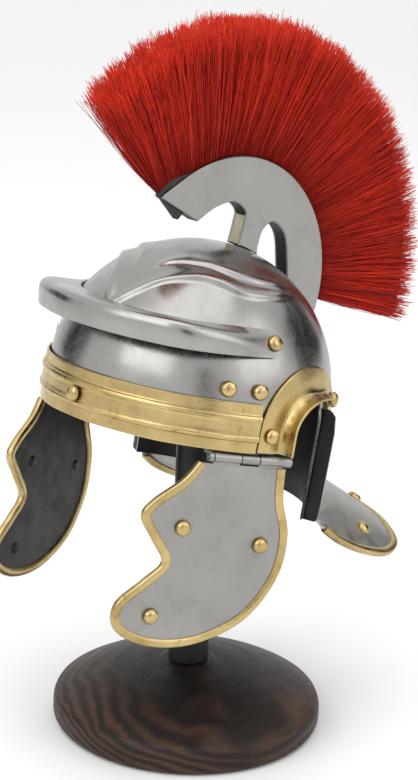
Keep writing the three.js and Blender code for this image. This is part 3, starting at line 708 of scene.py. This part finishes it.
def neck_pressed(u, v):
    """The guard with a soft step pressed across it, as on the real plate."""
    p = neck_surface(u, v)
    p[..., 2] += 0.5 * smooth(u, 0.12, 0.3) * (1 - smooth(u, 0.75, 0.95))
    return p


# The guard's lighter steel is painted light.
piece("neck_plate", *shell(neck_pressed, STEEL, 46, 180, wobble=0.18, seed=8), NECK_STEEL_PAINTED_LIGHT, slot="steel",
      replaces=["neck_guard"])


def bead():
    """The section of a brass strip folded over a sheet's edge and pinched on to it."""
    over, depth, half, slot = 0.95, 2.3, 1.42, STEEL / 2 + 0.12
    above = [(depth, slot + 0.16), (0.78 * depth, slot + 0.55), (0.45 * depth, half - 0.06)]
    arc = [(-over * math.sin(a) + 0.1, half * math.cos(a)) for a in np.linspace(0, math.pi, 11)]
    below = [(x, -y) for x, y in above[::-1]]
    return above + arc + below + [(depth, -slot), (-0.2, -slot), (-0.2, slot), (depth, slot)]


t = np.linspace(0.012, 0.988, 300)
at = neck_surface(np.ones_like(t), t)
tangent = unit(neck_surface(np.ones_like(t), t + 0.003) - neck_surface(np.ones_like(t), t - 0.003))
inwards = neck_surface(np.full_like(t, 0.9), t) - at
inwards = unit(inwards - tangent * np.sum(inwards * tangent, axis=1, keepdims=True))
piece("neck_bead", *swept(bead(), at, inwards, np.cross(tangent, inwards)), EDGE_BRASS, slot="brass",
      replaces=["neck_edging"])

# ---------------- brow guard and brow band

BROW_SECTION = [
    (57.0, 32.8), (57.6, 36.6), (57.7, 39.4), (56.6, 41.0), (54, 41.2), (48.5, 40.6), (43.7, 40.3)]
BROW_ROUNDING = 4.5


def brow_surface(u, v):
    """A peak with a lip in front that lies down on to the bowl towards its two ends."""
    u, v = matched(u, v)
    azimuth = lerp(-BROW_AZIMUTH, BROW_AZIMUTH, v)
    section = spline(BROW_SECTION, u)
    free = polar(section[..., 0], azimuth, section[..., 1])
    close = on_dome(azimuth, lerp(21.5, 32.5, u), GAP + STEEL / 2)
    return lerp(free, close, smooth(np.abs(azimuth), 34, 82)[..., None])


def brow_rounded(u, v):
    """The brow guard with each end cut to a half round."""
    azimuth = np.abs(lerp(-BROW_AZIMUTH, BROW_AZIMUTH, v))
    past = np.clip((azimuth - BROW_AZIMUTH + BROW_ROUNDING - 0.1) / BROW_ROUNDING, 0, 1)
    return brow_surface(0.5 + (u - 0.5) * np.sqrt(1 - past**2), v)


piece("brow_peak", *shell(brow_rounded, STEEL, 40, 300, wobble=0.15, seed=12), BOWL_STEEL, slot="steel",
      replaces=["brow_guard"])

BAND_PROFILE = [
    (0, 0), (0.35, 0.1), (3.9, 0.15), (4.5, 1.15), (5.3, 1.35), (6.0, 0.75), (7.2, 0.62), (10.2, 0.66),
    (11.0, 0.95), (11.6, 1.4), (12.3, 1.25), (12.9, 0.35), (13.6, 0.15), (16.6, 0.12), (BAND_HEIGHT, 0.0)]


def band_surface(u, v):
    """The brass band over the brow, with two pressed ribs."""
    u, v = matched(u, v)
    z = BAND_HEIGHT * u
    radius = BOWL_RADIUS + GAP + BRASS / 2 + 0.78 * through(BAND_PROFILE, z)
    return polar(radius, lerp(-BAND_AZIMUTH, BAND_AZIMUTH, v), z)


piece("brow_band_pressed", *shell(band_surface, BRASS, 70, 170, wobble=0.1, seed=14), SHEET_BRASS,
      slot="brass", replaces=["brow_band"])

# ---------------- ear guards

EAR_OUTSIDE, EAR_OPENING, EAR_COLLAR = 22.4, 12.4, 6.5
EAR_SECTION = [(EAR_OUTSIDE, 0), (18.5, 0), (15, 0), (13.4, 0.5), (12.7, 2), (EAR_OPENING, 4),
               (EAR_OPENING + 0.3, EAR_COLLAR)]
EAR_FLAT = [(EAR_OUTSIDE, 0), (21, 0), (19.6, 0), (18.5, 0), (17.6, 0), (16.7, 0), (15.8, 0)]


def ear_surface(u, v):
    """A half ring on two legs: u from its rim to its collar, v from the front leg to the rear one."""
    u, v = matched(u, v)
    leg = 0.13
    turn = np.clip((v - leg) / (1 - 2 * leg), 0, 1)
    angle = np.radians(180 * (1 - turn))
    section = lerp(spline(EAR_SECTION, u), spline(EAR_FLAT, u), smooth(turn, 0.55, 0.8)[..., None])
    drop = np.maximum(np.maximum(leg - v, v - 1 + leg), 0) / leg
    z = EAR_Z + section[..., 0] * np.sin(angle) - drop * (EAR_Z - 0.4)
    azimuth = EAR_AZIMUTH + np.degrees(section[..., 0] * np.cos(angle) / BOWL_RADIUS)
    wall = BOWL_RADIUS + GAP + BRASS / 2 + section[..., 1]
    over = np.maximum(z - DOME_Z, 0) / wall
    return polar(wall * np.cos(over), azimuth, np.minimum(z, DOME_Z) + wall * np.sin(over))


MIRROR = Matrix.Scale(-1, 4, (1, 0, 0))
for side, word in ((1, "left"), (-1, "right")):
    mesh = shell(ear_surface, BRASS, 40, 120, wobble=0.12, seed=20 + side)
    piece(f"ear_collar_{word}", *mesh, SHEET_BRASS, LEAN if side > 0 else LEAN @ MIRROR, slot="brass",
          replaces=[f"ear_guard_{word}"])

# ---------------- crest holder


def plate_x(outline, x0, x1, soft=0.25):
    """A flat plate across X with a bevelled edge, from an outline of (y, z) points."""
    o = np.array(outline, float)
    o = o[np.linalg.norm(o - np.roll(o, 1, axis=0), axis=1) > 0.02]
    along = unit(np.roll(o, -1, axis=0) - np.roll(o, 1, axis=0))
    area = np.sum(o[:, 0] * np.roll(o[:, 1], -1) - o[:, 1] * np.roll(o[:, 0], -1))
    inner = o + soft * np.stack([-along[:, 1], along[:, 0]], axis=1) * np.sign(area)
    loops = [(x0, inner), (x0 + soft, o), (x1 - soft, o), (x1, inner)]
    points = np.concatenate([np.column_stack([np.full(len(o), x), p]) for x, p in loops])
    return points, tube_faces(len(loops), len(o))


def on_bowl(y_from, y_to, count):
    """Points (y, z) along the bowl's middle line, a gap above it."""
    radius = BOWL_RADIUS + GAP
    a = np.linspace(math.acos(y_from / radius), math.acos(y_to / radius), count)
    return np.stack([radius * np.cos(a), DOME_Z + radius * np.sin(a)], axis=1)


NOSE_ANGLE, NOSE_START, NOSE_RISE = 143.4, 128, 1.7
NOSE_PINCH, NOSE_LENGTH = 1.5, 30
TAIL_ANGLE = -14


def fan_point(x, radius, degrees):
    """A point x off the middle, by its radius and angle round the crest's centre."""
    a = np.radians(degrees)
    return stack(x, CREST_Y + radius * np.cos(a), CREST_Z + radius * np.sin(a))


def block_radius(angle):
    """The brush block's outer radius, which grows towards the nose."""
    return CREST_RADIUS + 0.5 + 2.75 * smooth(angle, 122, 138)


def pinched(points):
    """The crest's two sides draw together towards the nose."""
    p = np.array(points, float)
    p[:, 0] -= np.sign(p[:, 0]) * NOSE_PINCH * np.clip(-p[:, 1] / NOSE_LENGTH, 0, 1)
    return p


# The holder's outline in side view: its rim, foot, window, stem and throat.
rim_angles = np.linspace(NOSE_ANGLE, TAIL_ANGLE, 120)
rise = NOSE_RISE * np.clip((rim_angles - NOSE_START) / (NOSE_ANGLE - NOSE_START), 0, 1) ** 2
outer = fan_point(0, CREST_RADIUS + rise, rim_angles)[:, 1:]
foot_line = on_bowl(45.2, 38, 10)
stem_line = on_bowl(18.8, 9.3, 8)
window = spline(
    [foot_line[-1], (35.5, 58), (31.5, 68.5), (24.5, 73), (20, 70), (18.8, 65), stem_line[0]],
    np.linspace(0, 1, 60))
throat = spline(
    [stem_line[-1], (10.1, 71), (9.6, 75.6), (3, 78.6), (-4.8, 76.1), (-12.2, 70.4)],
    np.linspace(0, 1, 60))
holder = np.concatenate([outer, foot_line, window[1:], stem_line[1:], throat[1:]])
half = CREST_WIDTH / 2
for x0, x1, word in ((half - STEEL, half, "left"), (-half, -half + STEEL, "right")):
    points, faces = plate_x(holder, x0, x1)
    piece(f"crest_cheek_{word}", pinched(points), faces, CREST_STEEL, slot="steel",
          replaces=["crest_holder"] if word == "left" else ())


def crest_strip(name, path, material=INSIDE, thick=-0.6):
    """A strip that closes the holder between its two cheeks along a path of (y, z) points."""
    width = CREST_WIDTH - 2 * STEEL + 0.1
    p = np.array(path, float)
    along = unit(np.gradient(p, axis=0))
    normal = np.stack([-along[:, 1], along[:, 0]], axis=1)
    centres = np.column_stack([np.zeros(len(p)), p])
    across = np.tile([1.0, 0, 0], (len(p), 1))
    outline = [(-width / 2, 0), (width / 2, 0), (width / 2, thick), (-width / 2, thick)]
    points, faces = swept(outline, centres, across, np.column_stack([np.zeros(len(p)), normal]))
    piece(name, pinched(points), faces, material)


stem_end = 20
crest_strip("crest_window_liner", window[2:-2])
# This liner's pale tan is painted reflection.
crest_strip("crest_stem_liner", throat[1:stem_end], STEM_FACE_PAINTED_REFLECTION, thick=-0.9)
crest_strip("crest_throat_liner", throat[stem_end:])
crest_strip("crest_nose_liner", np.linspace(throat[-1], outer[0] + [0.3, -0.1], 12))
crest_strip("crest_sole", foot_line)


def brush():
    """The curved brush between the cheeks, with its outer corners chamfered."""
    steps, half, chamfer = 200, CREST_WIDTH / 2 - STEEL - 0.05, 0.6
    angles = np.linspace(143, -4, steps)
    inner, outer = CHANNEL_RADIUS + GAP, block_radius(angles)
    flank, top = outer - 0.5, half - chamfer
    corners = [(-half, inner), (half, inner), (half, flank), (top, outer), (-top, outer), (-half, flank)]
    ring = np.stack([fan_point(x, radius, angles) for x, radius in corners], axis=1)
    return pinched(ring.reshape(-1, 3)), tube_faces(steps, len(corners))


piece("brush_block", *brush(), BLOCK, slot="black_fibre", replaces=["crest_block"])

# ---------------- plume

TUFTS_ALONG, TUFTS_ACROSS = 150, 3
TIP_SPREAD, TIP_LIMIT = 9.4, 11.3


def root_width(share):
    """Half the plume's width at its root, share of the way from the nose to the tail."""
    return 1.9 - 1.3 * (1 - smooth(share, 0, 0.25))


def plume_core():
    """A dark fan inside the bristles, so that no light comes through between them. Its dark colour is
    painted shade: it has no strand attributes, so the bristle material gives it the darkened root colour.
    """
    nx, nr, na = 5, 14, 90
    x, r, a = np.meshgrid(
        np.linspace(-1, 1, nx), np.linspace(0, 1, nr), np.linspace(0, 1, na), indexing="ij")
    width = lerp(root_width(a), 7.5, r**0.9)
    angle = lerp(lerp(141.5, 140.5, r), lerp(-2, -3.5, r), a)
    radius = lerp(block_radius(angle) - 0.2, PLUME_RADIUS - 7, r) - 2 * x**2 * r
    p = fan_point(x * width, radius, angle)
    index = np.arange(nx * nr * na).reshape(nx, nr, na)
    faces = []
    for sheet in (index[0], index[-1], index[:, 0], index[:, -1], index[:, :, 0], index[:, :, -1]):
        for i in range(sheet.shape[0] - 1):
            for j in range(sheet.shape[1] - 1):
                faces.append((sheet[i, j], sheet[i + 1, j], sheet[i + 1, j + 1], sheet[i, j + 1]))
    return p.reshape(-1, 3), faces


def keep_floats(made, name, values):
    attribute = made.data.attributes.new(name, "FLOAT", "POINT")
    attribute.data.foreach_set("value", np.asarray(values, np.float32))


def bristles(name, count, seed, replaces=()):
    """One mesh of many tapered strands that stand in tufts along the block."""
    rng = np.random.default_rng(seed)
    share = rng.uniform(0, 1, count)
    across = rng.uniform(-1, 1, count)
    tuft = np.floor(share * TUFTS_ALONG).astype(int) * TUFTS_ACROSS
    tuft += np.floor((across + 1) * (TUFTS_ACROSS / 2 - 0.001)).astype(int)
    tufts, tuft_count = np.random.default_rng(77), TUFTS_ALONG * TUFTS_ACROSS + 1
    lean = tufts.normal(0, 1.0, tuft_count)[tuft]
    tuft_tone = tufts.uniform(0, 1, tuft_count)[tuft]
    tuft_length = tufts.normal(0, 0.9, tuft_count)[tuft]
    root_angle = lerp(142.6, -3.0, share)
    loose = smooth(np.minimum(share, 1 - share), 0, 0.05)
    tip_angle = lerp(141.6, -5.2, share) + lerp(0.25, 1, loose) * (0.8 * lean + rng.normal(0, 1.0, count))
    root_x = across * root_width(share)
    tip_x = np.clip(across * TIP_SPREAD + rng.normal(0, 1.1, count), -TIP_LIMIT, TIP_LIMIT)
    short = np.where(rng.uniform(0, 1, count) < 0.24, rng.uniform(0, 16, count), 0)
    tip = PLUME_RADIUS - 0.9 - 1.2 * share + tuft_length + rng.normal(0, 1.0, count)
    tip = tip - short - 0.018 * tip_x**2
    curl_a, curl_x = rng.normal(0, 0.55, count), rng.normal(0, 0.5, count)
    steps, corners = 5, 3
    t = np.linspace(0, 1, steps)[None]
    radius = lerp((block_radius(root_angle) - 0.9)[:, None], tip[:, None], t)
    bow = np.sin(np.pi * t)
    angle = lerp(root_angle[:, None], tip_angle[:, None], t**0.9) + bow * curl_a[:, None]
    x = lerp(root_x[:, None], tip_x[:, None], t**0.85) + bow * curl_x[:, None]
    centre = fan_point(x, radius, angle)
    along = unit(np.gradient(centre, axis=1))
    side = unit(np.cross(along, [1.0, 0.15, 0.05]))
    other = np.cross(along, side)
    thick = rng.uniform(0.14, 0.22, count)[:, None, None] * lerp(1.0, 0.45, t)[..., None]
    spin = rng.uniform(0, 2 * math.pi, count)[:, None, None]
    rings = []
    for k in range(corners):
        a = spin + k * 2 * math.pi / corners
        rings.append(centre + thick * (np.cos(a) * side + np.sin(a) * other))
    p = np.stack(rings, axis=2)
    first = np.arange(count)[:, None] * steps * corners
    quads = []
    for low in range(0, (steps - 1) * corners, corners):
        for k in range(corners):
            here, after = low + k, low + (k + 1) % corners
            quads.append(first + [here, after, after + corners, here + corners])
    root = first + [0, 2, 1]
    end = first + (steps - 1) * corners + [0, 1, 2]
    mesh = bpy.data.meshes.new(name)
    mesh.from_pydata(
        placed(p.reshape(-1, 3), LEAN).tolist(), [],
        np.concatenate(quads).tolist() + root.tolist() + end.tolist())
    mesh.shade_smooth()
    mesh.materials.append(BRISTLE)
    made = linked(name, mesh)
    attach(made, ROOT)
    if replaces:
        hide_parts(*replaces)
    tone = np.clip(0.55 * tuft_tone + 0.45 * rng.uniform(0, 1, count) + rng.normal(0, 0.12, count), 0, 1)
    keep_floats(made, "tone", np.repeat(tone, steps * corners))
    keep_floats(made, "along", np.tile(np.repeat(np.linspace(0, 1, steps), corners), count))


piece("plume_core", *plume_core(), BRISTLE, slot="red_bristle")
STRANDS = 5900
for i in range(3):
    bristles(f"plume_bristles_{i}", STRANDS, 31 + i, ["plume"] if i == 0 else ())

# ---------------- hinges and cheek guards

BOWL_KNUCKLES = [(-12.8, -11.2), (-0.6, 6.0)]
CHEEK_KNUCKLES = [(-10.9, -0.9), (6.3, 18.3)]
LEAF_HALF, LEAF_LOW, LEAF_HIGH = 13, 1.5, 25
CHEEK_TOP = 2.1
CHEEK_EDGE = [
    (-15.4, CHEEK_TOP), (-20.2, 9.1), (-29.2, 16.8), (-32, 22.3), (-26.7, 29.8), (-21.3, 38),
    (-27.3, 45.3), (-35.3, 53.8), (-33.7, 62.3), (-21.3, 67.4), (-4.4, 66.2), (12.4, 57), (21.6, 41.6),
    (22.4, 26.4), (17.7, 13.6), (15.9, CHEEK_TOP)]


def barrel(low, high):
    """A rolled knuckle along Y: a tube with soft ends round the pin."""
    inner, outer, soft, length = PIN_RADIUS + 0.25, KNUCKLE_RADIUS, 0.2, high - low
    profile = [
        (inner, 0), (outer - soft, 0), (outer, soft), (outer, length - soft), (outer - soft, length),
        (inner, length), (inner, 0)]
    return turned(profile, 40, centre=(0, low, 0), axis=(0, 1, 0))


def together(*meshes):
    """Several meshes as one."""
    points, faces, offset = [], [], 0
    for p, f in meshes:
        p = np.asarray(p)
        points.append(p)
        faces += [[k + offset for k in face] for face in f]
        offset += len(p)
    return np.concatenate(points), faces


def box_mesh(low, high):
    (x0, y0, z0), (x1, y1, z1) = low, high
    p = [(x, y, z) for x in (x0, x1) for y in (y0, y1) for z in (z0, z1)]
    return p, [(0, 1, 3, 2), (4, 6, 7, 5), (0, 4, 5, 1), (2, 3, 7, 6), (0, 2, 6, 4), (1, 5, 7, 3)]


leaf_radius = BOWL_RADIUS - STEEL - 2 * GAP - STEEL / 2


def leaf_surface(u, v):
    """The hinge's leaf, curved to lie against the inside of the bowl."""
    u, v = matched(u, v)
    y, z = lerp(-LEAF_HALF, LEAF_HALF, u), lerp(LEAF_LOW, LEAF_HIGH, v)
    rise = np.maximum(z + HINGE_Z - DOME_Z, 0)
    return stack(np.sqrt(leaf_radius**2 - y**2 - rise**2) - HINGE_RADIUS, y, z)


edge = spline(CHEEK_EDGE, np.linspace(0, 1, 361))
outline = np.stack([edge[:, 0], -edge[:, 1]], axis=1)
at = np.column_stack([np.zeros(len(edge)), outline])
tangent = unit(np.gradient(at, axis=0))
inwards = np.column_stack([np.zeros(len(edge)), -tangent[:, 2], tangent[:, 1]])
across = np.tile([1.0, 0, 0], (len(edge), 1))
for side, word in ((1, "left"), (-1, "right")):
    still, hung = hinge_frame(side, False), hinge_frame(side, True)
    body = CHEEKS[word]
    tongues = []
    for low, high in BOWL_KNUCKLES:
        far = max(abs(low), abs(high))
        x = math.sqrt(leaf_radius**2 - far**2) - HINGE_RADIUS
        tongues += [barrel(low, high), box_mesh((x - STEEL / 2, low + 0.1, 0.6), (-0.9, high - 0.1, 1.9))]
    piece(f"hinge_plate_{word}", *together(shell(leaf_surface, 0.9, 24, 20), *tongues), HINGE_STEEL, still,
          slot="steel", replaces=[f"hinge_leaf_{word}"])
    wire = rounded([(NEAR_AXIS, -13.2), (PIN_RADIUS, -13.1), (PIN_RADIUS, 18.6), (NEAR_AXIS, 18.7)], 0.2)
    piece(f"hinge_wire_{word}", *turned(wire, 24, axis=(0, 1, 0)), HINGE_STEEL, still, slot="steel",
          replaces=[f"hinge_pin_{word}"])

    wraps = [plate_x(outline, -STEEL / 2 + 0.12, STEEL / 2, 0.12)]
    for low, high in CHEEK_KNUCKLES:
        inside = min(high, CHEEK_EDGE[-1][0])
        wraps += [barrel(low, high), box_mesh(
            (-0.38, low + 0.05, -CHEEK_TOP - 0.3), (0.5, inside - 0.05, -PIN_RADIUS - 0.6))]
    piece(f"cheek_sheet_{word}", *together(*wraps), PLATE_STEEL, hung, body, slot="steel",
          replaces=[f"cheek_plate_{word}"])
    lining = plate_x(outline, -STEEL / 2, -STEEL / 2 + 0.11, 0.03)
    piece(f"cheek_lining_{word}", *lining, CHEEK_INSIDE, hung, body)
    piece(f"cheek_bead_{word}", *swept(bead(), at, inwards, across), EDGE_BRASS, hung, body, slot="brass",
          replaces=[f"cheek_edging_{word}"])

# ---------------- rivets


def seat(node):
    """Centre and outward direction of a rivet's flat underside, and its radius, from its CAD node in mm."""
    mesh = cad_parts[node].data
    groups = {}
    for polygon in mesh.polygons:
        key = tuple(round(c, 2) for c in polygon.normal)
        groups.setdefault(key, []).append(polygon)
    _, flat = max(groups.items(), key=lambda item: sum(p.area for p in item[1]))
    used = {v for p in flat for v in p.vertices}
    centre = sum((mesh.vertices[v].co for v in used), Vector()) / len(used)
    radius = max((mesh.vertices[v].co - centre).length for v in used)
    return np.array(centre) / MM, -np.array(flat[0].normal), radius / MM


STUD_RISE = 0.72
RIVET_TAIL = [(NEAR_AXIS, 0), (2.1, 0), (2.0, 0.25), (1.3, 0.5), (NEAR_AXIS, 0.55)]


def stud(radius):
    """The profile of a rivet's domed head."""
    base, height = 0.2, STUD_RISE * radius
    angles = np.linspace(0.1, 1.45, 10)
    dome = [(radius * math.cos(a) ** 0.8, base + (height - base) * math.sin(a)) for a in angles]
    return [(NEAR_AXIS, 0), (radius - 0.1, 0), (radius, 0.15), *dome, (NEAR_AXIS, height)]


rng = np.random.default_rng(5)
for node in sorted(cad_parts):
    if "rivet" not in node:
        continue
    centre, axis, radius = seat(node)
    seed = int(rng.integers(1000))
    points, faces = turned(stud(radius), 36, centre, axis)
    points = points + 0.07 * waves(points, 3.5, seed)[:, None] * axis
    word = "left" if node.endswith("left") else "right"
    body = CHEEKS[word] if node.startswith("cheek") else ROOT
    piece(f"stud_{node}", points, faces, RIVET_BRASS, UPRIGHT, body, slot="brass", replaces=[node], flat=60)
    if node.startswith("cheek"):
        inner = centre - axis * (GAP + STEEL)
        piece(f"tail_{node}", *turned(RIVET_TAIL, 24, inner, -axis), INSIDE, UPRIGHT, body, flat=60)

# ---------------- studio


def studio_material(name, colour, glow=0.0):
    material = bpy.data.materials.new(name)
    material.use_nodes = True
    shader = material.node_tree.nodes["Principled BSDF"]
    shader.inputs["Base Color"].default_value = (*colour, 1)
    shader.inputs["Roughness"].default_value = 0.85
    if glow:
        shader.inputs["Emission Color"].default_value = (1, 1, 1, 1)
        shader.inputs["Emission Strength"].default_value = glow
    return material


def panel(name, size, at, facing, material, seen=True):
    """A flat rectangle of the studio."""
    mesh = bpy.data.meshes.new(name)
    w, h = size[0] / 2, size[1] / 2
    mesh.from_pydata([(-w, -h, 0), (w, -h, 0), (w, h, 0), (-w, h, 0)], [], [(0, 1, 2, 3)])
    mesh.materials.append(material)
    made = linked(name, mesh)
    made.location = at
    made.rotation_mode = "QUATERNION"
    made.rotation_quaternion = Vector(facing).to_track_quat("Z", "Y")
    made.visible_camera = seen
    made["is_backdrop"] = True


panel("floor", (40, 40), (0, 0, -0.0003), (0, 0, 1), studio_material("pale_floor", (0.9, 0.9, 0.9)))

world = bpy.data.worlds.new("studio")
world.use_nodes = True
world.node_tree.nodes["Background"].inputs["Color"].default_value = (1, 1, 1, 1)
world.node_tree.nodes["Background"].inputs["Strength"].default_value = 1.0
bpy.context.scene.world = world


def around(azimuth, elevation, distance, target=(0, 0, 0.14)):
    """A place round the target and the direction to it. Azimuth 0 is in front, 90 on the wearer's left."""
    a, e = math.radians(azimuth), math.radians(elevation)
    back = Vector((math.sin(a) * math.cos(e), -math.cos(a) * math.cos(e), math.sin(e)))
    return Vector(target) + back * distance, back


def softbox(name, azimuth, elevation, distance, size, watts):
    light = bpy.data.lights.new(name, "AREA")
    light.shape = "RECTANGLE"
    light.size, light.size_y = size
    light.energy = watts
    made = linked(name, light)
    made.location, back = around(azimuth, elevation, distance)
    made.rotation_mode = "QUATERNION"
    made.rotation_quaternion = back.to_track_quat("Z", "Y")


softbox("key", 8, 40, 1.4, (1.1, 1.1), 6)
softbox("fill", 110, 30, 1.5, (1.1, 1.1), 4)
softbox("top", 60, 85, 1.4, (1.2, 1.2), 5)
CARD = studio_material("grey_card", (0.03, 0.03, 0.03))
for number, (azimuth, elevation, distance, size) in enumerate([
        (62, 4, 2.2, (0.5, 1.6)), (170, 12, 2.6, (2.2, 1.6)), (-70, 8, 2.6, (1.6, 1.4))]):
    at, back = around(azimuth, elevation, distance)
    panel(f"card_{number}", size, at, -back, CARD, seen=False)

# ---------------- camera

AZIMUTH, ELEVATION, DISTANCE, AIM_Z, ROLL = 47.2, 17.1, 0.704, 0.128, -2.44
LENS, SHIFT_X = 90.5, 0.0123
at, back = around(AZIMUTH, ELEVATION, DISTANCE, (0, 0, AIM_Z))
a, r = math.radians(AZIMUTH), math.radians(ROLL)
right = Vector((math.cos(a), math.sin(a), 0))
up = back.cross(right)
right_rolled = math.cos(r) * right - math.sin(r) * up
up_rolled = math.sin(r) * right + math.cos(r) * up
lens = bpy.data.cameras.new("camera")
lens.lens = LENS
lens.sensor_width = 36
lens.shift_x = SHIFT_X
lens.clip_start, lens.clip_end = 0.05, 20
camera = linked("camera", lens)
place = Matrix((right_rolled, up_rolled, back)).transposed().to_4x4()
place.translation = at
camera.matrix_world = place
bpy.context.scene.camera = camera
bpy.context.scene.view_settings.view_transform = "Standard"

size = {"cad": [list(c) for c in cad_box], "visual": [list(c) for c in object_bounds()]}
